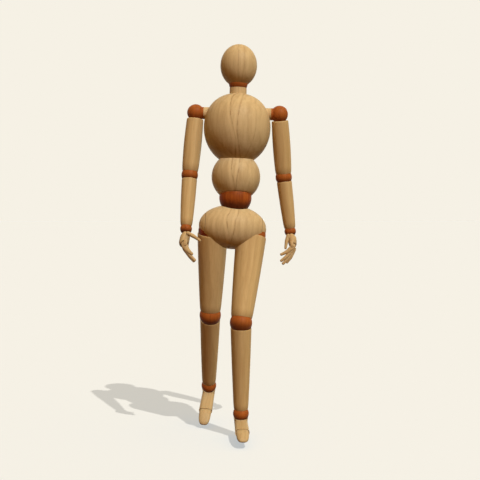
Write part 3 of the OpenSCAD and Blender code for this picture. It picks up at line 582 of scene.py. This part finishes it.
headLines = (
    (((22, -1.6), (12, 0.4), (4, 0.6), (-4, 0.8), (-15, 1.4)), 0.55),
    (((22, 4.0), (10, 6.2), (0, 6.6), (-12, 5.0)), 0.35),
)
# The waist ball's stain, with painted shade on its lower part; the "ends" of head, neck ball and chest
# below are painted shade on their lower parts too.
waistStainAndShade = {"pale": (172, 90, 34), "mid": (122, 53, 14), "ends": (-9, 0, 0.8)}
torsoLooks = {              # wood, origin, turn, seed, and what differs from the wood
    "head": (lightWood, headMiddle, chestTurn, 1, {"lines": headLines, "ends": (-20, -7, 0.45)}),
    "neck": (lightWood, neck, chestTurn, 2, {}),
    "neck_ball": (stainedWood, neck, chestTurn, 3, {"ends": (-8, 1, 0.65)}),
    "chest": (lightWood, chestMiddle, chestTurn, 4, {"lines": chestLines, "ends": (-36, -20, 0.2)}),
    "abdomen": (lightWood, abdomenMiddle, abdomenTurn, 5, {"lines": abdomenLines}),
    "waist_ball": (stainedWood, waist, abdomenTurn, 6, waistStainAndShade),
    "pelvis": (lightWood, pelvisMiddle, pelvisTurn, pelvisSeed, {"lines": pelvisLines}),
}
for node, (look, origin, turn, seed, extra) in torsoLooks.items():
    dress(node, woodMaterial(node + "Wood", {**look, **extra}, origin, turn, seed))

steel, browned = steelMaterial("steelWire", steelWire), steelMaterial("brownedWire", brownedWire)
for node in frame["nodes"]:
    if node.endswith(("_pin", "_pins", "_stud", "_axle")):
        dress(node, browned if node.endswith("_hand_pins") else steel)

pieceSeeds = {
    "right": {"limbs": 20, "hand": 80, "foot": 90},
    "left": {"limbs": 50, "hand": 100, "foot": 110},
}
seedSteps = {"balls": 8, "shoulder": 14, "hip": 15}     # after the limbs' seed
limbTones = {"pale": (201, 172, 128), "mid": (187, 156, 111)}
limbPith = (40.0, 20.0)                                 # outwards and back
# Painted shade towards each limb's lower end: the heights, in its millimetres, between which it sets in,
# and how strong it is.
limbEndShade = {
    "_upper_arm": (-59.5, -50.0, 0.35),
    "_forearm": (-52.0, -44.0, 0.35),
    "_thigh": (-84.0, -74.0, 0.35),
    "_shin": (-89.5, -81.0, 0.35),
}
# Painted shade on each ball's lower part.
ballEndShade = {                # how far below and above its middle a ball is darkened, and by how much
    "_elbow_ball": (4.0, 1.2, 0.6),
    "_wrist_ball": (4.0, 1.2, 0.85),
    "_knee_ball": (6.0, 1.8, 0.62),
    "_ankle_ball": (5.0, 1.5, 0.7),
}
# The shoulder ball's lower part gets painted shade; past the peg's edge it is plain wood.
shoulderLook = {"ends": (-7.0, -1.0, 0.4), "pegEdge": (-8.35, -8.05), "pegWood": lightWood}
# The right hip ball's stain is painted darker, as painted shade on the side away from the key lamp.
hipShadeTones = {"right": {"pale": (128, 56, 24), "mid": (102, 38, 14)}, "left": {}}
for side, k in sides.items():
    seed = pieceSeeds[side]["limbs"]
    shoulder, elbow, wrist = (jointAt(side + n) for n in ("_arm_raise", "_elbow_bend", "_wrist_bend"))
    hip, hipBall = jointAt(side + "_hip_swing"), jointAt(side + "_leg_spread")
    knee, ankle = jointAt(side + "_knee_bend"), jointAt(side + "_ankle_bend")
    elbowAxis, kneeAxis = jointAxis(side + "_elbow_bend"), jointAxis(side + "_knee_bend")
    limbs = {               # each limb's frame, and the ball at its lower end
        "_upper_arm": (limbFrame(shoulder, elbow, elbowAxis), "_elbow_ball", elbow),
        "_forearm": (limbFrame(elbow, wrist, elbowAxis), "_wrist_ball", wrist),
        "_thigh": (limbFrame(hipBall, knee, kneeAxis), "_knee_ball", knee),
        "_shin": (limbFrame(knee, ankle, kneeAxis), "_ankle_ball", ankle),
    }
    for number, (limb, (place, ball, middle)) in enumerate(limbs.items()):
        wood = {**lightWood, **limbTones, "pith": (k * limbPith[0], limbPith[1]), "ends": limbEndShade[limb]}
        dress(side + limb, woodMaterial(side + limb + "Wood", wood, *place, seed + number))
        # painted shade on the ball's lower part, below its middle
        below, above, share = ballEndShade[ball]
        drop = -millimetres * np.linalg.norm(place[0] - middle)
        stain = {**stainedWood, "ends": (drop - below, drop + above, share)}
        ballSeed = seed + seedSteps["balls"] + number
        dress(side + ball, woodMaterial(side + ball + "Stain", stain, *place, ballSeed))
    stain = {**stainedWood, **shoulderLook}
    turn = turnOnto((1, 0, 0), (0, 0, 1), k * chestTurn[:, 0], shoulder - elbow)
    ballSeed = seed + seedSteps["shoulder"]
    dress(side + "_shoulder_ball", woodMaterial(side + "ShoulderStain", stain, shoulder, turn, ballSeed))
    stain = {**stainedWood, **hipShadeTones[side]}
    turn = turnOnto((1, 0, 0), (0, 0, 1), pelvisTurn[:, 0], hipBall - knee)
    ballSeed = seed + seedSteps["hip"]
    dress(side + "_hip_ball", woodMaterial(side + "HipStain", stain, hipBall, turn, ballSeed))
    capWood = {**lightWood, "lines": pelvisLines}
    dress(side + "_hip_cap", woodMaterial(side + "HipCapWood", capWood, hip, pelvisTurn, pelvisSeed))
print("finishes laid on")


# Carved pieces. Hands and feet are smooth skins over rings of points, in the piece's own millimetres.

# A smooth curve through values at given places: each span is a cubic with end slopes from its neighbours.
def smoothThrough(places, values, at):
    places, values = np.array(places, float), np.array(values, float)
    slopes = np.gradient(values, places)
    span = np.clip(np.searchsorted(places, at, side="right") - 1, 0, len(places) - 2)
    step = places[span + 1] - places[span]
    t = (at - places[span]) / step
    return ((2 * t**3 - 3 * t**2 + 1) * values[span] + (t**3 - 2 * t**2 + t) * step * slopes[span]
            + (3 * t**2 - 2 * t**3) * values[span + 1] + (t**3 - t**2) * step * slopes[span + 1])


# Nought up to low, one from high on, and between them three squares of the way less two cubes of it.
def easeBetween(low, high, at):
    t = np.clip((at - low) / (high - low), 0, 1)
    return t * t * (3 - 2 * t)


# Signed power: keeps the sign, so that an oval with a power above two is fuller than an ellipse.
def fuller(wave, power):
    return np.sign(wave) * np.abs(wave) ** (2 / power)


# A closed skin: quads between neighbouring rings and a fan to a pole at each end, turned to look outwards.
def skin(rings):
    count, around = rings.shape[:2]
    points = np.concatenate([rings.reshape(-1, 3), rings[:1].mean(axis=1), rings[-1:].mean(axis=1)])
    row, column = np.meshgrid(np.arange(count - 1), np.arange(around), indexing="ij")
    here = row * around + column
    beside = row * around + (column + 1) % around
    quads = np.stack([here, beside, beside + around, here + around], axis=-1).reshape(-1, 4)
    spoke = np.arange(around)
    nextSpoke = (spoke + 1) % around
    lastRow = (count - 1) * around
    firstFan = np.stack([nextSpoke, spoke, np.full(around, count * around)], axis=-1)
    lastFan = np.stack([lastRow + spoke, lastRow + nextSpoke, np.full(around, count * around + 1)], axis=-1)
    fans = np.concatenate([firstFan, lastFan])
    thirds = points[np.concatenate([quads[:, [0, 1, 2]], quads[:, [0, 2, 3]], fans])]
    volume = (thirds[:, 0] * np.cross(thirds[:, 1], thirds[:, 2])).sum()
    if volume < 0:
        quads, fans = quads[:, ::-1], fans[:, ::-1]
    return points, quads, fans


# One piece out of closed skins: its points are turned into the row frame and set at the piece's place.
def makePiece(name, shells, place, material, body):
    origin, turn = place
    points, faces, count = [], [], 0
    for shellPoints, quads, fans in shells:
        points.append(shellPoints)
        faces += (quads + count).tolist() + (fans + count).tolist()
        count += len(shellPoints)
    rowPoints = origin + np.concatenate(points) @ turn.T / millimetres
    mesh = bpy.data.meshes.new(name)
    mesh.from_pydata(rowPoints.tolist(), [], faces)
    mesh.polygons.foreach_set("use_smooth", np.ones(len(faces), bool))
    mesh.materials.append(material)
    mesh.update()
    piece = bpy.data.objects.new(name, mesh)
    scene.collection.objects.link(piece)
    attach(piece, body)
    return piece


ringPoints = 48
around = np.linspace(0, 2 * math.pi, ringPoints, endpoint=False)
ringCos, ringSin = np.cos(around), np.sin(around)
seatLook = {"rows": 9, "start": 0.08}           # a ball's seat: its rings, and the first one's angle
tabEdge = 0.2
handPlane, footPlane = (0, 2, 1), (1, 2, 0)     # axis numbers across, along and through a tab


# Ovals stacked along Z: each has its own half sizes, centre and fullness.
def ovalStack(heights, halfX, halfY, centreX, centreY, power):
    wide = [np.asarray(v, float)[:, None] for v in (heights, halfX, halfY, centreX, centreY, power)]
    z, a, b, cx, cy, p = wide
    return np.stack([cx + a * fuller(ringCos, p), cy + b * fuller(ringSin, p), z + 0 * ringCos], axis=-1)


# The hollow seat of a ball: circles on a sphere, from its bottom out to the rim, which may vary around it.
def cupStack(ballRadius, rimRadius):
    start, way = seatLook["start"], np.linspace(0, 1, seatLook["rows"])[:, None]
    angle = start + (np.arcsin(rimRadius / ballRadius) - start) * way
    ring = ballRadius * np.sin(angle)
    return np.stack([ring * ringCos, ring * ringSin, -ballRadius * np.cos(angle) + 0 * ringCos], axis=-1)


# A flat tab with a round end: a circle whose far half is drawn out, carried straight through its thickness
# with softened edges.
def tab(middle, radius, drawn, low, high, plane):
    across, along, through = plane
    inset = np.array([radius - tabEdge, radius, radius, radius - tabEdge])[:, None]
    ring = np.zeros((len(inset), ringPoints, 3))
    ring[..., across] = inset * ringCos
    ring[..., along] = inset * ringSin + np.where(ringSin * drawn > 0, drawn, 0)
    ring[..., through] = np.array([low, low + tabEdge, high - tabEdge, high])[:, None]
    return skin(ring + np.array(middle, float))


# Rings of a finger's knuckle and tip, the first one's angle, the rings between, and the last one's radius.
fingerRows = {"cap": 9, "capStart": 0.12, "body": 26, "tip": 0.06}
fingerLook = {
    "baseRadius": 1.55, "tipRadius": 1.15, "taper": 1.6,
    "flat": 1.2,                                            # depth over width
    "swell": 0.10, "jointAt": 0.55, "jointLength": 0.12,    # the middle joint
    "knuckleLength": 6.5,                                   # over which the knuckle fades out
    "bend": 22.0, "bendBetween": (0.30, 0.80),
}
thumbLook = {
    "baseRadius": 1.9, "tipRadius": 1.2, "taper": 1.3,
    "flat": 1.0,
    "swell": 0.18, "jointAt": 0.38, "jointLength": 0.16,
    "knuckleLength": 6.5,
    "bend": -7.0, "bendBetween": (0.25, 0.75),
    "pivot": (-3.2, -7.9, -6.8),
}


# A finger: an oval carried along a path that curls towards the palm and tapers. Behind its wire it ends in
# a round knuckle, which is deeper on the back of the hand and fades out along the first bone. The tip is a
# half ball.
def fingerSkin(look, heading, length, mirror, knuckle):
    baseRadius, tipRadius = look["baseRadius"], look["tipRadius"]
    cap = np.linspace(fingerRows["capStart"], math.pi / 2, fingerRows["cap"])
    body = np.linspace(0, length - tipRadius, fingerRows["body"])[1:-1]
    tip = length - tipRadius + tipRadius * np.sin(cap - cap[0])
    along = np.concatenate([-knuckle * np.cos(cap), body, tip])
    share = np.clip(along / length, 0, 1)
    swell = look["swell"] * np.exp(-((share - look["jointAt"]) / look["jointLength"]) ** 2)
    radius = baseRadius + (tipRadius - baseRadius) * share ** look["taper"] + swell
    radius[-len(cap):] *= np.cos(cap - cap[0])
    radius[-1] = fingerRows["tip"]
    behind = np.minimum(along, 0)
    front = look["flat"] * np.sqrt(np.maximum(radius**2 - behind**2, 0))
    fade = np.exp(-((along / look["knuckleLength"]) ** 2))
    ahead = look["flat"] * radius + (knuckle - look["flat"] * baseRadius) * fade
    back = np.where(along > 0, ahead, np.sqrt(np.maximum(knuckle**2 - behind**2, 0)))
    width = radius * np.sqrt(1 - (behind / knuckle) ** 4)
    angle = np.radians(heading + look["bend"] * easeBetween(*look["bendBetween"], share))
    direction = np.stack([-np.sin(angle), 0 * angle, -np.cos(angle)], axis=-1)
    steps = (direction[1:] + direction[:-1]) / 2 * np.diff(along)[:, None]
    path = np.concatenate([np.zeros((1, 3)), np.cumsum(steps, axis=0)])
    path -= np.array([np.interp(0, along, path[:, axis]) for axis in range(3)])
    side = np.stack([np.cos(angle), 0 * angle, -np.sin(angle)], axis=-1)
    deep = np.where(ringCos > 0, back[:, None], front[:, None]) * ringCos
    ring = path[:, None] + deep[..., None] * side[:, None]
    ring[..., 1] += width[:, None] * ringSin
    return ring * np.array((mirror, 1, 1))


# Values down the palm, from the wrist's seat to the knuckles. X points to the back of the hand, and Y lies
# along the knuckle wire.
palmStations = {
    "heights": (-4.1, -4.6, -6.2, -8.4, -10.8, -13.0, -14.5, -15.2, -15.4),
    "halfX": (3.4, 3.8, 4.5, 4.75, 4.75, 4.75, 4.6, 4.1, 3.0),
    "halfY": (4.75, 4.95, 5.9, 7.1, 7.75, 7.85, 7.75, 7.4, 6.6),
    "centreX": (0, 0, 0.15, 0.4, 0.7, 0.95, 1.0, 0.9, 0.8),
    "centreY": (0, 0, 0.15, 0.45, 0.5, 0.4, 0.25, 0.2, 0.2),
    "power": (2.0, 2.0, 2.05, 2.15, 2.3, 2.5, 2.6, 2.5, 2.3),
    "slimHalfX": (3.4, 3.75, 4.3, 4.4, 4.3, 4.0, 3.5, 2.9, 1.9),
    "slimCentreX": (0, 0, 0.0, -0.1, -0.3, -0.6, -0.8, -0.8, -0.7),
    "backDrop": (0, 0, 0, 0, 0.1, 0.5, 1.2, 1.9, 2.2),      # how much lower the back of the hand ends
    "sideDrop": (1.1, 1.3, 1.0, 0.4, 0, 0, 0, 0, 0),        # how much lower the seat's rim is at the sides
}
palmLook = {
    "rows": 44,
    "backSide": (-0.35, 0.55),          # between these shares of the half width the back's drop sets in
    "endShrink": (0.96, 0.85, 0.65, 0.4, 0.2, 0.06),
    "endMiddle": (0.85, 0.2),
    "ballRadius": 6.2,
    "rimWall": 0.25,                    # the flat round the wrist's seat
    "knuckle": (-1.2, 0.0, -17.6),      # the wire's middle
    "scoop": 2.05,                      # the hollow about the wire, on the palm's side
    "scoopStep": -0.5,                  # where it widens to the knuckle's size
    "room": 0.25,                       # between knuckle and hollow
    "lugs": ((-7.6, -6.35), (6.75, 8.0)),
    "lugRadius": 1.75,
    "lugDrawn": 3.4,
    "tongue": (1.6, -6.2, 1.1),         # radius, how far it is drawn out, and half its thickness
    "boss": (2.0, 1.7, 5.0),            # the thumb's: radius, and where it starts and ends
}
handWood = {"ringPitch": 3.4, "pale": (191, 163, 123), "mid": (177, 147, 108)}
handSeeds = {"fingers": 1, "thumb": 6}      # after the palm's
handPose = {                # a full back of the hand or a slim one, and each finger's heading and length
    "right": {
        "back": 1.0, "knuckle": 4.2, "thumb": (63, 15.2),
        "fingers": {"index": (29, 12.8), "middle": (25, 18.8), "ring": (22, 18.2), "little": (23, 15.5)},
    },
    "left": {
        "back": 0.2, "knuckle": 3.2, "thumb": (26, 14.4),
        "fingers": {"index": (56, 15.4), "middle": (42, 19.5), "ring": (34, 20.3), "little": (27, 16.5)},
    },
}


# The palm's skin: ovals down from the wrist's seat, cut at their end by a round hollow about the wire. The
# hollow is wider on the back of the hand, where the knuckles turn in it.
def palmSkin(flip, back, knuckle):
    stations = np.linspace(0, 1, len(palmStations["heights"]))
    fine = np.linspace(0, 1, palmLook["rows"])
    lines = {name: smoothThrough(stations, values, fine) for name, values in palmStations.items()}
    halfX = back * lines["halfX"] + (1 - back) * lines["slimHalfX"]
    centreX = back * lines["centreX"] + (1 - back) * lines["slimCentreX"]
    outer = ovalStack(lines["heights"], halfX, lines["halfY"], centreX, lines["centreY"], lines["power"])
    outer[..., 2] -= back * lines["backDrop"][:, None] * easeBetween(*palmLook["backSide"], ringCos)
    outer[..., 2] -= lines["sideDrop"][:, None] * ringCos**2
    rim = np.hypot(outer[0, :, 0], outer[0, :, 1]) - palmLook["rimWall"]
    hollow = cupStack(palmLook["ballRadius"], rim)
    middle = np.array(palmLook["endMiddle"])
    shrink = np.array(palmLook["endShrink"])[:, None, None]
    end = middle + shrink * (outer[-1, :, :2] - middle)
    lowest = np.full((*end.shape[:2], 1), outer[-1, :, 2].min())
    rings = np.concatenate([outer, np.concatenate([end, lowest], axis=-1)])
    wireX, _, wireZ = palmLook["knuckle"]
    fromWire = rings[..., 0] - wireX
    reach = np.where(fromWire > palmLook["scoopStep"], knuckle + palmLook["room"], palmLook["scoop"])
    seat = wireZ + np.sqrt(np.maximum(reach**2 - fromWire**2, 0))
    rings[..., 2] = np.where(np.abs(fromWire) < reach, np.maximum(rings[..., 2], seat), rings[..., 2])
    return skin(np.concatenate([hollow, rings]) * flip)


# A hand, in the wrist's frame: Y lies along the wrist's pin, and the wire is where the finger joints are.
# The palm has its skin, the wrist's tongue, two lugs for the wire and a boss for the thumb.
def makeHand(side, k, seed):
    wrist = jointAt(side + "_wrist_bend")
    flip = np.array((k, 1, 1))
    knuckle = np.array(palmLook["knuckle"]) * flip
    rowKnuckle = (jointAt(side + "_index_curl") + jointAt(side + "_little_curl")) / 2
    turn = turnOnto((0, 1, 0), knuckle, k * jointAxis(side + "_wrist_bend"), rowKnuckle - wrist)
    pose = handPose[side]
    radius, drawn, half = palmLook["tongue"]
    shells = [palmSkin(flip, pose["back"], pose["knuckle"])]
    shells.append(tab((0, 0, 0), radius, drawn, -half, half, handPlane))
    for low, high in palmLook["lugs"]:
        shells.append(tab(knuckle, palmLook["lugRadius"], palmLook["lugDrawn"], low, high, handPlane))
    radius, low, high = palmLook["boss"]
    shells.append(tab(np.array(thumbLook["pivot"]) * flip, radius, 0, low, high, handPlane))
    wood = {**lightWood, **handWood}
    palmWood = woodMaterial(side + "PalmWood", wood, wrist, turn, seed)
    palm = makePiece(side + "HandPalm", shells, (wrist, turn), palmWood, side + "_hand")
    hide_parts(side + "_palm")
    for number, (finger, (heading, length)) in enumerate(pose["fingers"].items()):
        rings = fingerSkin(fingerLook, heading, length, k, pose["knuckle"])
        start = jointAt(f"{side}_{finger}_curl")
        fingerSeed = seed + handSeeds["fingers"] + number
        fingerWood = woodMaterial(f"{side}{finger.title()}Wood", wood, start, turn, fingerSeed)
        piece = makePiece(f"{side}Finger{finger.title()}", [skin(rings)], (start, turn), fingerWood,
                          f"{side}_{finger}_finger")
        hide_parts(f"{side}_{finger}_finger")
    rings = fingerSkin(thumbLook, *pose["thumb"], k, thumbLook["baseRadius"])
    start = jointAt(side + "_thumb_bend")
    thumbWood = woodMaterial(side + "ThumbWood", wood, start, turn, seed + handSeeds["thumb"])
    piece = makePiece(side + "Thumb", [skin(rings)], (start, turn), thumbWood, side + "_thumb")
    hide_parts(side + "_thumb")


# A foot's lines are in Y and Z from the ankle, a toe piece's from its hinge. Y points to the heel.
footLook = {
    "rows": 60,
    "top": ((-7.2, -4.75), (-7.4, -5.0), (-8.0, -5.0), (-9.0, -4.95), (-10.2, -4.95), (-12.2, -5.0),
            (-16, -5.05), (-21, -5.1), (-26.5, -5.15), (-30.7, -5.2)),
    "sole": ((7.2, -4.75), (8.6, -5.9), (10.5, -8.1), (11.0, -10.9), (9.4, -12.7), (4, -13.0),
             (-6, -12.6), (-16, -12.5), (-25, -12.9), (-31.0, -13.0)),
    "halfWidth": (7.2, 7.15, 6.9, 6.7, 6.6, 6.6, 6.65, 6.75, 6.9, 7.0),
    "topPower": 2.3,
    "solePower": 3.2,
    "ballRadius": 8.3,
    "rim": 6.9,
    "hinge": (0.0, -33.0, -9.0),
    "scoop": 4.45,                      # the hollow about the toe's hinge
    "scoopLeast": 0.01,
    "scoopShrink": (1.0, 0.97, 0.8, 0.55, 0.3, 0.1),
    "tongue": (2.4, -8.0, 1.7),
}
toeLook = {
    "rows": 40,
    "top": ((0, 4.0), (-3, 3.75), (-6.5, 2.7), (-10, 1.35), (-12.8, 0.25), (-14.6, -0.9), (-15.4, -2.1)),
    "sole": ((0, -4.0), (-3, -4.0), (-6.5, -4.0), (-10, -4.0), (-13.0, -3.95), (-14.8, -3.5),
             (-15.45, -2.5)),
    "halfWidth": (6.2, 6.15, 5.95, 5.45, 4.5, 3.0, 0.6),
    "topPower": 2.4,
    "solePower": 3.0,
    "knuckle": 4.0,                     # the round back that turns in the foot's hollow
    "knuckleGrow": (0.08, 0.3, 0.55, 0.8, 0.94),
}
footWood = {"ringPitch": 4.2, "pale": (188, 163, 127), "mid": (174, 148, 112)}
footGrain = np.array(((1, 0, 0), (0, 0, -1), (0, 1, 0)), float)     # lays the grain along the foot
toeSeed = 1                 # after the foot's


# Rings across a foot: each lies in the plane through one point of its top line and one of its sole line,
# as wide as given.
def lastRings(look):
    stations = np.linspace(0, 1, len(look["halfWidth"]))
    fine = np.linspace(0, 1, look["rows"])
    top, sole = (
        np.stack([smoothThrough(stations, values, fine) for values in zip(*look[line])], axis=-1)
        for line in ("top", "sole")
    )
    half = smoothThrough(stations, look["halfWidth"], fine)[:, None]
    power = np.where(ringCos > 0, look["topPower"], look["solePower"])
    reach = fuller(ringCos, power)
    middle, arm = (top + sole) / 2, (top - sole) / 2
    y = middle[:, :1] + arm[:, :1] * reach
    z = middle[:, 1:] + arm[:, 1:] * reach
    return np.stack([half * fuller(ringSin, power), y, z], axis=-1)


# A foot, in the ankle's frame: X lies along the ankle's pin, and the toe's hinge is where its joint is. The
# foot ends in a round hollow about that hinge, in which the toe piece's round back turns.
def makeFoot(side, seed):
    ankle = jointAt(side + "_ankle_bend")
    hinge = np.array(footLook["hinge"])
    toeStart = jointAt(side + "_toe_bend")
    turn = turnOnto((1, 0, 0), hinge, -jointAxis(side + "_ankle_bend"), toeStart - ankle)
    grainTurn = turn @ footGrain
    wood = {**lightWood, **footWood}
    hollow = cupStack(footLook["ballRadius"], footLook["rim"])[..., [1, 0, 2]] * (1, -1, 1)
    outer = lastRings(footLook)
    fromHinge = outer[-1] - hinge
    shrink = np.array(footLook["scoopShrink"])[:, None]
    scoopX, scoopZ = shrink * fromHinge[:, 0], shrink * fromHinge[:, 2]
    scoopY = np.sqrt(np.maximum(footLook["scoop"] ** 2 - scoopZ**2, footLook["scoopLeast"]))
    scoop = np.stack([scoopX, scoopY, scoopZ], axis=-1) + hinge
    radius, drawn, half = footLook["tongue"]
    shells = [skin(np.concatenate([hollow, outer[:-1], scoop]))]
    shells.append(tab((0, 0, 0), radius, drawn, -half, half, footPlane))
    instepWood = woodMaterial(side + "FootWood", wood, ankle, grainTurn, seed)
    foot = makePiece(side + "FootInstep", shells, (ankle, turn), instepWood, side + "_foot")
    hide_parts(side + "_foot")
    body = lastRings(toeLook)
    grow = np.array(toeLook["knuckleGrow"])[:, None]
    backX, backZ = grow * body[0, :, 0], grow * body[0, :, 2]
    backY = np.sqrt(np.maximum(toeLook["knuckle"] ** 2 - backZ**2, 0.0))
    rings = np.concatenate([np.stack([backX, backY, backZ], axis=-1), body])
    toeWood = woodMaterial(side + "ToeWood", wood, toeStart, grainTurn, seed + toeSeed)
    toe = makePiece(side + "FootToe", [skin(rings)], (toeStart, turn), toeWood, side + "_toe")
    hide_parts(side + "_toe")


for side, k in sides.items():
    makeHand(side, k, pieceSeeds[side]["hand"])
    makeFoot(side, pieceSeeds[side]["foot"])
print("hands and feet carved")
